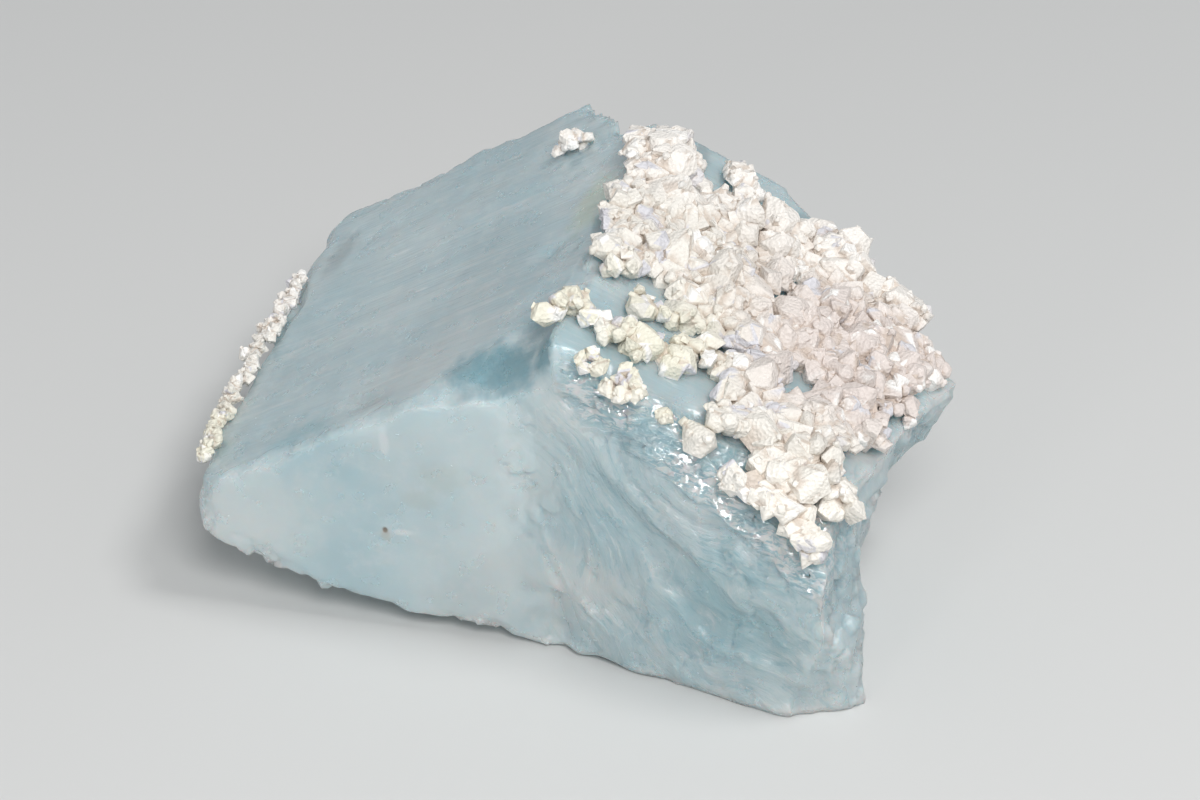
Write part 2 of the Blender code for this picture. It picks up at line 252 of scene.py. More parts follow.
# %% [markdown]
# ## The topaz block
# The real stone is one crystal broken from a larger one. Two flat prism faces meet at the
# crest, the front is a clean split that turns into a curved, ribbed break on its right half,
# and the rest is rough fracture. The solid already has these forms, cut by planes. A voxel
# remesh gives it an even skin of small faces, the front's upper right edge is split off in
# front of the albite, and a smoothing pass takes the solid's facets away. Then each kind of
# surface gets its own relief, by how it faces.

# %% An even skin on the block
SKIN = 0.33 * MM
SPLIT_PLACE = np.array((7.0, -2.0, -9.0))
SPLIT_UP = unit(np.array((0.05, -0.90, 0.43)))
SPLIT_DEPTH = 2.6             # the most that is split off, in millimetres
KEPT_SHAPE = 0.85             # the share of its own shape that a sharp spot gets back

topaz = copy_of_solid("topaz_crystal", "topaz")
with_modifier(topaz, "REMESH", mode="VOXEL", voxel_size=SKIN)

# The front's upper right edge is split off along a slope.
ground = read_mesh(topaz)[0]
over = np.maximum((ground - SPLIT_PLACE) @ SPLIT_UP, 0.0)
over *= smooth_step(ground[:, 0], -0.5, 6.0)
sharp = ground - np.clip(over, 0.0, SPLIT_DEPTH)[:, None] * SPLIT_UP
write_mesh(topaz, sharp)
with_modifier(topaz, "SMOOTH", factor=0.5, iterations=4)

# The thin spike at the back would melt away, and the edge where the left face meets the
# front is crisp, so both get most of their own shape back.
at_spike = smooth_step(sharp[:, 1], 31.0, 33.0) * smooth_step(sharp[:, 2], -7.0, -5.0)
at_meeting = smooth_step(sharp @ LEFT_UP, -2.2, -1.2) * smooth_step(-sharp[:, 1], -2.6, -1.6)
at_meeting *= smooth_step(-sharp[:, 0], -1.0, 0.2)
kept = KEPT_SHAPE * np.maximum(at_spike, at_meeting)
soft = read_mesh(topaz)[0]
write_mesh(topaz, soft + (sharp - soft) * kept[:, None])
print("topaz skin:", len(topaz.data.polygons), "faces, split off by up to",
      round(min(float(over.max()), SPLIT_DEPTH), 2), "mm")

# %% Which surface is which
ground, facing, web = read_mesh(topaz)
broad = spread(facing, web, 7)
lean = np.linalg.norm(broad, axis=1)
broad = broad / lean[:, None]
near_edge = smooth_step(1.0 - lean, 0.02, 0.12)

on_left = smooth_step(broad @ LEFT_UP, 0.93, 0.985)
on_right = smooth_step(broad @ RIGHT_UP, 0.80, 0.93)
on_front = smooth_step(-broad[:, 1], 0.80, 0.93)
on_back = smooth_step(broad[:, 1], 0.93, 0.99)
# The splintered strip lies between the right face and this edge of the ribbed front.
STRIP_EDGE = ((-0.2, -2.2), (2.3, -6.7), (7.0, -9.0), (10.2, -10.8), (13.3, -12.6),
              (16.3, -15.3), (19.4, -17.1), (24.0, -20.0))
edge_rise = np.interp(ground[:, 0], *zip(*STRIP_EDGE))
on_strip = smooth_step(ground[:, 2] - edge_rise, -0.2, 0.5)
on_strip *= smooth_step(ground[:, 0], 0.2, 1.4)
on_strip *= smooth_step(0.067 * ground[:, 0] - ground[:, 1], -0.8, 0.2)
on_strip *= smooth_step(-ground[:, 0], -23.0, -21.0)
on_right, on_front = on_right * (1.0 - on_strip), on_front * (1.0 - on_strip)
on_break = np.clip(1.0 - on_left - on_right - on_front - on_strip - 0.75 * on_back, 0.0, 1.0)
lifted = smooth_step(to_world(ground)[:, 2] / MM, 0.2, 1.2)
print("shares, left, right, front, strip, break:",
      [round(float(mask.mean()), 2)
       for mask in (on_left, on_right, on_front, on_strip, on_break)])

# %% [markdown]
# ## Relief of each surface
# - The left prism face is almost flat, with faint lines across it where the stone began to
#   split.
# - The left half of the front is a clean split: flat, with very shallow waves.
# - The right half of the front is a break that ran away from the crest's end, so its ribs
#   fan out from there.
# - The strip that was split off in front of the albite is full of long slivers.
# - All other sides are rough fracture with low shelves.

# %% Broad relief of the topaz
FAN_X, FAN_Z = -6.0, 8.0      # where the ribs of the front would meet
CHIP_PLACE, CHIP_SIZE = (-5.0, 2.6, -4.2), (5.8, 3.4, 3.0)      # beside the crest's end

across, back, rise = ground[:, 0], ground[:, 1], ground[:, 2]
still = np.zeros(len(ground))
down_left = -across * math.cos(SLOPE) - rise * math.sin(SLOPE)

gap = ground @ LEFT_UP
waves = soft_noise(np.stack((down_left * 0.09, back * 0.12, still), 1), 3)
lines = rough_noise(np.stack((down_left * 0.07, back * 0.9, still + 5.0), 1), 9)
left_push = -0.80 * (gap + 0.34) + 0.14 * waves + 0.03 * lines

flat_half = smooth_step(-across, 3.0, 6.0)
front_push = 0.05 * soft_noise(ground * 0.16, 21) - 0.8 * flat_half * (0.1 - back)
fan_x, fan_z = across - FAN_X, rise - FAN_Z
reach = np.hypot(fan_x, fan_z)
angle = np.arctan2(-fan_z, fan_x)
swirl = angle + 0.010 * reach + 0.10 * rough_noise(ground * 0.09, 31, 3)
coarse = ridged_noise(np.stack((swirl * 10.0, reach * 0.035, still), 1), 41, 2)
fine = ridged_noise(np.stack((swirl * 34.0, reach * 0.05, still + 3.0), 1), 43, 3)
on_ribs = smooth_step(across, -4.0, 3.0) * smooth_step(reach, 10.0, 17.0)
rib_push = on_ribs * (0.34 * coarse + 0.20 * fine)

along = across * 0.86 - back * 0.21 - rise * 0.46
aside = across * 0.24 + back * 0.97
slivers = ridged_noise(np.stack((along * 0.12, aside * 0.8, rise * 0.8), 1), 51, 3)

shelves = steps(1.6 * rough_noise(ground * 0.11, 61, 3) + rise * 0.10)
grit = rough_noise(ground * 0.55, 67, 4)
break_push = 0.22 * shelves - 0.2 - rise * 0.022 + 0.12 * grit

# The crest's end and the spike at the back are clean, without rough breaks or chips.
clean_edge = (across < 1.5) * (back < 6.0) * (rise > -16.0) + (at_spike > 0.0)
break_push = break_push * (1.0 - 0.85 * clean_edge)
push = on_left * left_push + on_front * (front_push + rib_push)
push = push + on_break * break_push + 0.10 * on_back * grit + 0.35 * on_strip * slivers
push = np.clip(push, -1.2, 0.25) * lifted * (1.0 - at_spike)
ground = ground + broad * push[:, None]
level = np.clip(on_left + on_front * flat_half + clean_edge * on_break, 0.0, 1.0)
level = 0.9 * level * (1.0 - smooth_step(near_edge, 0.3, 0.9))
ground = ground + (spread(ground, web, 5) - ground) * level[:, None]
# A chip left one even slope.
chip_gap = np.linalg.norm((ground - CHIP_PLACE) / CHIP_SIZE, axis=1)
even = smooth_step(-chip_gap, -1.0, -0.7) * smooth_step(ground[:, 1], 0.5, 1.3)
ground = ground + (spread(ground, web, 30) - ground) * even[:, None]
print("relief of the topaz, in mm:", [round(float(end), 2) for end in (push.min(), push.max())])

# %% [markdown]
# ## Chips and splinters
# Topaz breaks with shell-shaped chips, like glass. Each chip is a scoop: whatever lies
# inside a ball that dips into the stone is pushed out to the ball's surface, which leaves a
# hollow with a crisp rim. A ball that is stretched along one direction leaves a long
# splinter scar instead. Short chips sit along the edges, long splinters lie side by side on
# the split strip and in a fan over the ribbed front, and wide shallow ones cover the rough
# sides.

# %% Scoops
chance = np.random.default_rng(17)


def scoop(places, near, centre, shape, depth):
    """Push what lies inside a stretched ball out to its surface, near one spot."""
    away = (places[near] - centre) @ shape.T
    distance = np.linalg.norm(away, axis=1)
    inside = distance < 1.0
    pushed = away[inside] / np.maximum(distance[inside], 0.05)[:, None]
    target = centre + pushed @ np.linalg.inv(shape).T
    chosen = near[inside]
    shallow = np.linalg.norm(target - places[chosen], axis=1) < 1.3 * depth
    places[chosen[shallow]] = target[shallow]
    return chosen[shallow]


def shape_of(along, outward, half_length, half_width, depth_radius):
    """The stretch that turns a long ball into a ball of radius 1."""
    side = np.cross(outward, along)
    return np.stack((along / half_length, side / half_width, outward / depth_radius))


def scoop_over(places, normals, share, count, spacing, sizes, tilt, direction=None):
    """Scoops at places picked by share; direction is the way that splinters run.

    sizes are the ranges of the half length, the half width and the depth.
    """
    order = chance.permutation(np.where(share > 0.5)[0])
    used = []
    scarred = np.zeros(len(places))
    for index in order:
        if len(used) == count:
            break
        spot_mm = places[index]
        if used and np.min(np.linalg.norm(np.array(used) - spot_mm, axis=1)) < spacing:
            continue
        used.append(spot_mm)
        outward = unit(normals[index] + chance.uniform(-tilt, tilt, 3))
        run = chance.uniform(-1.0, 1.0, 3) if direction is None else direction(spot_mm)
        run = unit(run - outward * (run @ outward))
        half_length, half_width, depth = [chance.uniform(*pair) for pair in sizes]
        ball = 0.5 * (half_width ** 2 / depth + depth)
        stretch = half_length / half_width
        shape = shape_of(run, outward, ball * stretch, ball, ball)
        near = np.where(np.abs(places - places[index]).max(axis=1) < 1.2 * half_length)[0]
        touched = scoop(places, near, places[index] + outward * (ball - depth), shape, depth)
        scarred[touched] = 1.0
    return scarred


def fan_way(spot_mm):
    """The way that the front's ribs run at a place."""
    turn = math.atan2(FAN_Z - spot_mm[2], spot_mm[0] - FAN_X)
    return np.array((math.cos(turn), 0.0, -math.sin(turn)))


def strip_way(spot_mm):
    return np.array((0.86, -0.21 + chance.uniform(-0.15, 0.15), -0.46))


off_ground = smooth_step(to_world(ground)[:, 2] / MM, 1.5, 3.0)

may_chip = clean_edge == 0
ribs = scoop_over(ground, broad, on_front * on_ribs * off_ground, count=22, spacing=2.2,
                  sizes=((5.0, 11.0), (0.8, 1.7), (0.10, 0.24)), tilt=0.02, direction=fan_way)
strip = scoop_over(ground, broad, on_strip, count=110, spacing=0.8,
                   sizes=((1.6, 4.2), (0.45, 0.95), (0.12, 0.34)), tilt=0.4,
                   direction=strip_way)
sides = scoop_over(ground, broad, on_break * off_ground * may_chip, count=120, spacing=2.8,
                   sizes=((2.2, 5.5), (1.6, 3.2), (0.15, 0.45)), tilt=0.12)
chips = scoop_over(ground, broad, near_edge * (lifted > 0.9) * (1.0 - on_strip) * may_chip,
                   count=110, spacing=1.6, sizes=((1.2, 3.0), (0.9, 1.8), (0.12, 0.38)),
                   tilt=0.25)
write_mesh(topaz, ground)
with_modifier(topaz, "SMOOTH", factor=0.5, iterations=1)
TOPAZ_VALUES = {
    "ribbed": on_front * on_ribs,
    "strip": on_strip,
    "broken": on_break,
    "fan": np.stack((swirl * 14.0, reach * 0.10, ground[:, 1] * 0.3), axis=1),
    "splinter": np.stack((along * 0.20, aside * 1.1, rise * 1.1), axis=1),
    # the edge mask: where the finish paints a paler glow along the thin edges
    "edge": near_edge * may_chip,
}
keep_inside(topaz, 0.1 * MM)
for name, values in TOPAZ_VALUES.items():
    keep_values(topaz, name, values)
print("scarred shares:", [round(float(mask.mean()), 2) for mask in (ribs, strip, sides, chips)])

# %% [markdown]
# ## Albite crystals
# Albite grows as small blocky crystals, flattened, with corners cut off by sloping faces. A
# cube bisected by a few planes is such a crystal, and a bevel softens its edges the way a
# slightly worn crystal is soft. The large ones are more worn, so they are smoothed as well. A
# few different ones are made, and every crystal of the crust is a copy of one of them, turned
# and scaled.

# %% One crystal
draw = random.Random(7)


def make_crystal(name, corners, softness):
    """A blocky crystal of half size 1, with some corners cut off."""
    bpy.ops.object.select_all(action="DESELECT")
    bpy.ops.mesh.primitive_cube_add(size=2.0)
    item = bpy.context.object
    item.name = name
    bpy.ops.object.mode_set(mode="EDIT")
    for _ in range(corners):
        way = Vector([draw.choice((-1.0, 1.0)) * draw.uniform(0.35, 1.0) for _ in range(3)])
        way.normalize()
        bpy.ops.mesh.select_all(action="SELECT")
        bpy.ops.mesh.bisect(plane_co=way * draw.uniform(0.92, 1.12), plane_no=way,
                            use_fill=True, clear_outer=True)
    bpy.ops.object.mode_set(mode="OBJECT")
    flat = Vector((1.0, draw.uniform(0.8, 1.0), draw.uniform(0.7, 0.9), 1.0))
    item.data.transform(Matrix.Diagonal(flat))
    worn = softness > 0.2
    with_modifier(item, "BEVEL", width=softness, segments=2 if worn else 1,
                  limit_method="ANGLE")
    if worn:
        with_modifier(item, "SMOOTH", factor=0.5, iterations=2)
    return item


LARGE_SOFTNESS, SMALL_SOFTNESS = 0.52, 0.19
large_crystals = [make_crystal(f"large_{number}", corners, LARGE_SOFTNESS)
                  for number, corners in enumerate((7, 9, 11, 13, 15, 17))]
small_crystals = [make_crystal(f"small_{number}", corners, SMALL_SOFTNESS)
                  for number, corners in enumerate((4, 5, 6, 7, 8))]
print("faces of the crystals:",
      [len(item.data.polygons) for item in large_crystals + small_crystals])

# %% [markdown]
# ## Where the crystals stand
# Each crust follows its solid, so a ray is dropped on the solid at each place. The crystal is
# set with its middle below the spot that was hit, so that it shows about as much as a grown
# crystal does. Some large crystals stand at chosen places, and the others fill the ground
# between them on a shaken grid, because a druse never lines up in rows.

# %% Dropping crystals on a surface
def surface_of(item):
    mesh = item.data
    return BVHTree.FromPolygons([v.co for v in mesh.vertices],
                                [tuple(p.vertices) for p in mesh.polygons])


DOWN = Vector(TURN_ROWS @ np.array((0.0, 0.0, -1.0)))
RAY_START, RAY_LENGTH = 12.0, 45.0      # millimetres


def spot_on(surface, across_mm, back_mm):
    """The place and slope that a ray meets under a place of the crystal frame."""
    start = Vector(to_world(np.array([[across_mm, back_mm, RAY_START]]))[0])
    return surface.ray_cast(start, DOWN, RAY_LENGTH * MM)[:2]


def add_copy(model, place, size, up, tip):
    """One crystal as its own mesh, standing on the surface."""
    item = bpy.data.objects.new("grown", model.data.copy())
    stand = up.to_track_quat("Z", "Y").to_matrix().to_4x4()
    turn = Matrix.Rotation(draw.uniform(0.0, 2.0 * math.pi), 4, "Z")
    turn = turn @ Matrix.Rotation(draw.uniform(-tip, tip), 4, "X")
    turn = turn @ Matrix.Rotation(draw.uniform(-tip, tip), 4, "Y")
    item.data.transform(Matrix.Translation(place) @ stand @ turn @ Matrix.Scale(size, 4))
    scene.collection.objects.link(item)
    return item


def join(items, name):
    bpy.ops.object.select_all(action="DESELECT")
    for item in items:
        item.select_set(True)
    bpy.context.view_layer.objects.active = items[0]
    bpy.ops.object.join()
    items[0].name = name
    return items[0]


# %% [markdown]
# ## From a heap of crystals to one grown crust
# A druse has crystals of several sizes. Those at chosen places go down first, then a close
# bed that closes the gaps, then the large ones and the smaller ones between them. Last come
# tiny sharp ones wherever there is room, also on the flanks of the large ones. They are
# joined into one piece, in which the crystals pass into each other with sharp creases between
# them, as grown crystals do.
#
# Dirt and shadow collect in the creases, and the finish paints both there: partly dirt, partly
# painted shade. Short rays cast from each point measure how closed in it is, and that number is
# kept for the finish, together with a shade for each crystal.

# %% Growing a crust
def vertex_picks(item, spacing):
    """Vertices picked by chance that keep a distance from each other, with normals."""
    mesh = item.data
    picks = []
    cells = {}
    for index in chance.permutation(len(mesh.vertices)):
        place = mesh.vertices[index].co
        key = tuple(math.floor(v / spacing) for v in place)
        near = [other for step in itertools.product((-1, 0, 1), repeat=3)
                for other in cells.get(tuple(a + b for a, b in zip(key, step)), ())]
        if all((place - other).length > spacing for other in near):
            cells.setdefault(key, []).append(place.copy())
            picks.append((place.copy(), mesh.vertices[index].normal.copy()))
    return picks


def closed_in(item, rays, reach):
    """For each vertex, the share of short rays that meet the piece itself."""
    surface = surface_of(item)
    fan = []
    while len(fan) < rays:
        way = chance.normal(size=3)
        fan.append(Vector(way / np.linalg.norm(way)))
    shares = []
    for vertex in item.data.vertices:
        start = vertex.co + vertex.normal * 0.02 * MM
        hits = 0
        for way in fan:
            out = way if way.dot(vertex.normal) > 0.0 else -way
            hits += surface.ray_cast(start, out, reach)[0] is not None
        shares.append(hits / rays)
    return np.array(shares)


def buried(surface, place, way):
    """Whether a vertex lies inside another crystal of the heap."""
    start = place + way * 0.02 * MM
    hit, face_way = surface.ray_cast(start, way)[:2]
    return hit is not None and face_way.dot(way) > 0.0


TOPAZ_SURFACE = surface_of(topaz)
BARE = ((13.5, 17.6, 1.9), (16.9, 8.3, 1.9), (14.3, -0.5, 1.5))     # blue gaps in the crust
SHAKE = 0.35                  # how far a crystal may stand from its place in the grid
ROW_STEP = 0.87               # rows lie closer than the crystals in a row
CHOSEN_SUNK, TINY_SUNK = 0.78, 0.55        # how deep they sit for their size
CHOSEN_LEVEL, OTHER_LEVEL = 0.6, 0.25      # how level the ground below them must be


def grow_crust(node, name, lumps, tiny, large=(), fine_edge=0.0, settle=False):
    """A crust of crystals over a solid, as one piece.

    Each layer of lumps has its models, a spacing and a range of half sizes in millimetres,
    and how deep they sit for their size. tiny is the spacing and sizes of the last, tiny
    crystals. Within fine_edge millimetres of the solid's edge the lumps are smaller.
    A piece that settles is let down onto the topaz, whose edge is split off there.
    """
    solid = copy_of_solid(node, name + "_solid")
    surface = surface_of(solid)
    reach = read_mesh(solid)[0]
    low, high = reach.min(axis=0), reach.max(axis=0)
    let_down = Vector((0.0, 0.0, 0.0))
    if settle:
        corners = [vertex.co.copy() for vertex in solid.data.vertices]
        middle = sum(corners, Vector((0.0, 0.0, 0.0))) / len(corners)
        nearest = TOPAZ_SURFACE.find_nearest(middle)[0]
        outward = (middle - nearest).normalized()
        gap = min((corner - nearest).dot(outward) for corner in corners)
        let_down = -outward * max(gap + 0.15 * MM, 0.0)      # and a little into it
        print(name, "is let down by", round(let_down.length / MM, 2), "mm")
    bpy.data.objects.remove(solid, do_unlink=True)

    spots = []
    for across_mm, back_mm, radius in large:
        place, slope = spot_on(surface, across_mm, back_mm)
        if not place:       # just past the solid's edge it stands on the topaz
            place, slope = spot_on(TOPAZ_SURFACE, across_mm, back_mm)
        if place and slope.dot(-DOWN) > CHOSEN_LEVEL:
            up = Vector(TURN_ROWS @ RIGHT_UP)
            middle = place - up * radius * CHOSEN_SUNK * MM
            spots.append((large_crystals, middle, radius, up, 0.4))
    for models, step_mm, pair, sunk in lumps:
        rows = int((high[1] - low[1]) / (ROW_STEP * step_mm)) + 2
        columns = int((high[0] - low[0]) / step_mm) + 2
        for row, column in itertools.product(range(rows), range(columns)):
            shift = column + 0.5 * (row % 2) + draw.uniform(-SHAKE, SHAKE)
            across_mm = low[0] + shift * step_mm
            back_mm = low[1] + (row + draw.uniform(-SHAKE, SHAKE)) * ROW_STEP * step_mm
            radius = draw.uniform(*pair)
            if any(math.hypot(across_mm - gap_x, back_mm - gap_y) < gap_mm
                   for gap_x, gap_y, gap_mm in BARE):
                continue
            if fine_edge and None in [
                    spot_on(surface, across_mm + fine_edge * x, back_mm + fine_edge * y)[0]
                    for x, y in ((1, 0), (-1, 0), (0, 1), (0, -1))]:
                radius *= 0.65 if back_mm > 0.5 else 0.9
            place, slope = spot_on(surface, across_mm, back_mm)
            if place and slope.dot(-DOWN) > OTHER_LEVEL:
                spots.append((models, place - slope * radius * sunk * MM, radius, slope, 0.7))
    grown = [add_copy(draw.choice(models), place, radius * MM, up, lean_over)
             for models, place, radius, up, lean_over in spots]
    crust = join(grown, name)

    spacing, sizes = tiny
    heap = surface_of(crust)
    small = [(place, way) for place, way in vertex_picks(crust, spacing * MM)
             if way.dot(-DOWN) > 0.0 and not buried(heap, place, way)]
    stood = []
    for place, way in small:
        radius = draw.uniform(*sizes) * MM
        stood.append(add_copy(draw.choice(small_crystals), place - way * TINY_SUNK * radius,
                              radius, way, 0.8))
    crust = join([crust] + stood, name)
    crust.data.transform(Matrix.Translation(let_down))
    keep_inside(crust, 0.8 * MM)

    middles = [entry[1] + let_down for entry in spots]
    middles += [entry[0] + let_down for entry in small]
    tree = KDTree(len(middles))
    for number, middle in enumerate(middles):
        tree.insert(middle, number)
    tree.balance()
    shade_of = [draw.random() for _ in spots] + [draw.uniform(0.3, 0.8) for _ in small]
    shades = [shade_of[tree.find(vertex.co)[1]] for vertex in crust.data.vertices]
    keep_values(crust, "shade", np.array(shades))
    # how closed in each point is, which the finish paints as dirt and painted shade in the
    # creases
    keep_values(crust, "hollow", closed_in(crust, 8, 0.7 * MM))
    print(name, "has", len(spots), "crystals,", len(small), "tiny ones and",
          sum(len(face.vertices) - 2 for face in crust.data.polygons), "triangles")
    return crust


# %% The crusts and the single crystals
# Places across and back of the chosen large crystals, and their half sizes.
LARGE_CRYSTALS = (
    (19.7, -3.9, 0.9), (20.1, -4.2, 0.8), (19.2, -3.3, 1.0), (20.4, -4.7, 0.8),
    (20.9, -5.2, 0.6), (20.2, -5.0, 0.6), (20.7, -4.2, 0.7), (18.4, -3.0, 0.9),
    (19.4, -4.5, 0.6), (21.2, -4.9, 0.5), (20.6, -5.5, 0.4), (21.1, -5.7, 0.35),
    (15.9, -3.4, 0.7), (16.6, -3.3, 0.8), (17.4, -3.7, 0.8), (18.1, -3.5, 0.8),
    (16.3, -3.5, 0.6), (18.6, -4.5, 0.7), (19.4, -4.9, 0.6), (17.8, -4.2, 0.7),
    (20.3, -5.1, 0.5), (15.4, -2.9, 0.7),
    (16.5, 27.1, 2.0), (20.3, 17.6, 2.0), (23.4, 16.8, 1.5), (18.9, 13.4, 1.6),
    (21.1, 13.5, 1.3), (21.4, 22.2, 1.8), (15.1, 16.9, 1.7), (6.6, 17.2, 1.7),
    (12.1, 16.8, 1.7), (1.6, 28.8, 1.4), (3.4, 22.9, 1.7), (19.0, 5.3, 2.0),
    (18.5, 0.4, 1.8), (15.9, 2.4, 1.7), (19.9, -3.2, 1.1))

# Models, spacing, range of half sizes, and how deep they sit.
CRUST_LAYERS = ((small_crystals, 1.1, (0.75, 0.95), 1.0),
                (large_crystals, 1.9, (1.0, 1.75), 0.80),
                (small_crystals, 2.8, (0.5, 0.95), 0.80))
RIM_LAYERS = ((small_crystals, 0.8, (0.35, 0.5), 1.0), (large_crystals, 0.8, (0.28, 0.5), 0.75))
GRAIN_LAYERS = ((small_crystals, 0.8, (0.35, 0.5), 0.9), (large_crystals, 1.0, (0.45, 0.7), 0.75))
CRUST_TINY, RIM_TINY, GRAIN_TINY = (1.5, (0.15, 0.36)), (0.7, (0.10, 0.2)), (0.8, (0.1, 0.2))

crust = grow_crust("albite_crust", "crust_crystals", CRUST_LAYERS, CRUST_TINY, LARGE_CRYSTALS,
                   fine_edge=1.3)
rim = grow_crust("albite_rim", "rim_crystals", RIM_LAYERS, RIM_TINY)
grains = {node: grow_crust(node, node + "_crystals", GRAIN_LAYERS, GRAIN_TINY, settle=True)
          for node in ("albite_grain_front", "albite_grain_middle", "albite_grain_small",
                       "albite_grain_on_left_face")}
for item in large_crystals + small_crystals:
    bpy.data.objects.remove(item, do_unlink=True)

# %% [markdown]
# ## Finishes
# A finish is a small network of nodes. All of them read the place on the stone in the
# crystal's tilted frame, in millimetres, so streaks line up with the crystal and stay put
# when the stone is turned. A small class keeps the adding and linking of nodes short. The
# stains of the topaz and the glinting faces of the albite are groups with named inputs.

# %% Adding and linking nodes
class Network:
    """Adds nodes to a tree. A value is either a socket to link or a plain value."""

    def __init__(self, tree):
        self.nodes, self.links = tree.nodes, tree.links

    def add(self, kind, **settings):
        """A node with its inputs and settings; nodes are laid out in rows of eight."""
        row, column = divmod(len(self.nodes), 8)
        node = self.nodes.new(kind)
        node.location = (220 * column, -340 * (row + 1))
        for key, value in settings.items():
            if key in node.inputs:
                node.inputs[key].default_value = value
            else:
                setattr(node, key, value)
        return node

    def feed(self, socket, value):
        if isinstance(value, bpy.types.NodeSocket):
            self.links.new(value, socket)
        else:
            socket.default_value = value

    def maths(self, operation, first, second=0.0):
        node = self.add("ShaderNodeMath", operation=operation)
        self.feed(node.inputs[0], first)
        self.feed(node.inputs[1], second)
        return node.outputs[0]

    def plus(self, first, second):
        return self.maths("ADD", first, second)

    def minus(self, first, second):
        return self.maths("SUBTRACT", first, second)

    def times(self, first, second):
        return self.maths("MULTIPLY", first, second)

    def vectors(self, operation, first, second=None):
        node = self.add("ShaderNodeVectorMath", operation=operation)
        self.feed(node.inputs[0], first)
        if second is not None:
            self.feed(node.inputs[1], second)
        return node.outputs["Value" if operation == "LENGTH" else "Vector"]

    def cloud(self, place, scale, detail=3.0, roughness=0.5, distortion=0.0):
        """A noise pattern."""
        node = self.add("ShaderNodeTexNoise", Scale=scale, Detail=detail,
                        Roughness=roughness, Distortion=distortion)
        self.feed(node.inputs["Vector"], place)
        return node.outputs["Fac"]

    def ramp(self, value, low, high, bottom=0.0, top=1.0):
        """Map a range of a value to another range, with soft ends."""
        node = self.add("ShaderNodeMapRange", interpolation_type="SMOOTHSTEP")
        for socket, given in (("Value", value), ("From Min", low), ("From Max", high),
                              ("To Min", bottom), ("To Max", top)):
            self.feed(node.inputs[socket], given)
        return node.outputs["Result"]

    def blend(self, share, first, second):
        """Mix two colours; each is a socket or a plain colour."""
        node = self.add("ShaderNodeMix", data_type="RGBA")
        self.feed(node.inputs[0], share)
        for socket, colour in ((6, first), (7, second)):
            self.feed(node.inputs[socket],
                      (*colour, 1.0) if isinstance(colour, tuple) else colour)
        return node.outputs[2]

    def stored(self, name, output="Fac"):
        """A number or a vector that was kept for each vertex."""
        return self.add("ShaderNodeAttribute", attribute_name=name).outputs[output]

    def crystal_place(self):
        """The place on the stone in the crystal's frame, in millimetres."""
        coordinates = self.add("ShaderNodeTexCoord")
        tilt = self.add("ShaderNodeMapping", vector_type="TEXTURE", Location=CREST_FRONT,
                        Rotation=TURN.to_euler(), Scale=(MM, MM, MM))
        self.feed(tilt.inputs["Vector"], coordinates.outputs["Object"])
        return tilt.outputs["Vector"]


def new_finish(name):
    """A material with only its shader and its output."""
    finish = bpy.data.materials.new(name)
    finish.use_nodes = True
    return finish, Network(finish.node_tree), finish.node_tree.nodes["Principled BSDF"]


def new_group(name, inputs, outputs):
    group = bpy.data.node_groups.new(name, "ShaderNodeTree")
    for way, sockets in (("INPUT", inputs), ("OUTPUT", outputs)):
        for socket, kind in sockets:
            group.interface.new_socket(socket, in_out=way, socket_type="NodeSocket" + kind)
    net = Network(group)
    start = net.add("NodeGroupInput").outputs
    end = net.add("NodeGroupOutput").inputs
    return group, net, start, end


print("node helpers ready")

# %% A spot of colour: the group behind every stain and every patch of painted shade on the topaz
def build_spot_group():
    """1 at a centre, falling to 0 with distance, with a ragged edge."""
    group, net, start, end = new_group(
        "spot", (("Place", "Vector"), ("Centre", "Vector"), ("Size", "Vector"),
                 ("Ragged", "Float")), (("Mask", "Float"),))
    away = net.vectors("SUBTRACT", start["Place"], start["Centre"])
    share = net.vectors("DIVIDE", away, start["Size"])
    length = net.vectors("LENGTH", share)
    shake = net.times(net.minus(net.cloud(start["Place"], 0.9), 0.5), start["Ragged"])
    net.feed(end["Mask"], net.ramp(net.plus(length, shake), 0.35, 1.05, 1.0, 0.0))
    return group


# %% Tiny bright faces: the group behind the sparkle of the albite
def build_glint_group():
    """Tiny flat faces, as a height for bumps, and the few that flash."""
    group, net, start, end = new_group(
        "glints", (("Place", "Vector"), ("Cells", "Float")),
        (("Height", "Float"), ("Flash", "Float")))
    cells = net.add("ShaderNodeTexVoronoi", feature="F1")
    net.feed(cells.inputs["Vector"], start["Place"])
    net.feed(cells.inputs["Scale"], start["Cells"])
    tone = net.add("ShaderNodeSeparateColor")
    net.feed(tone.inputs["Color"], cells.outputs["Color"])
    net.feed(end["Height"], cells.outputs["Distance"])
    net.feed(end["Flash"], net.ramp(tone.outputs["Red"], 0.82, 0.9))
    return group


SPOT = build_spot_group()
GLINTS = build_glint_group()
print("node groups:", [group.name for group in bpy.data.node_groups])
